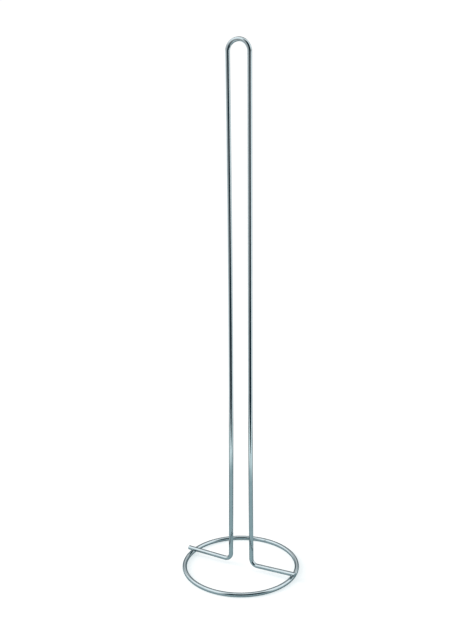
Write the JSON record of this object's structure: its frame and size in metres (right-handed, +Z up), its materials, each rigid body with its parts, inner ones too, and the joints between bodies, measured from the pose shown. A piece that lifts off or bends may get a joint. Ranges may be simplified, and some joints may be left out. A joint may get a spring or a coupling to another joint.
{
  "type": "paper towel holder",
  "caption": "Tall free-standing wire roll holder: a flat round base ring, with a long narrow looped mast whose feet lie across the ring.",
  "frame": {"origin": "centre of the base ring, on the surface that the ring stands on", "axes": "+Z up along the mast, X along the mast's two feet, -Y towards the side that the ring's closing weld isn't on"},
  "size_m": [0.139, 0.135, 0.595],
  "materials": {
    "chrome_plated_wire": "bright chrome plate on drawn steel wire",
    "plated_weld_metal": "chrome plate over a slightly rough weld"
  },
  "bodies": {
    "root": {"base_ring": "chrome_plated_wire", "mast_wire": "chrome_plated_wire", "ring_closing_weld": "plated_weld_metal", "left_foot_weld": "plated_weld_metal", "right_foot_weld": "plated_weld_metal"}
  },
  "joints": []
}
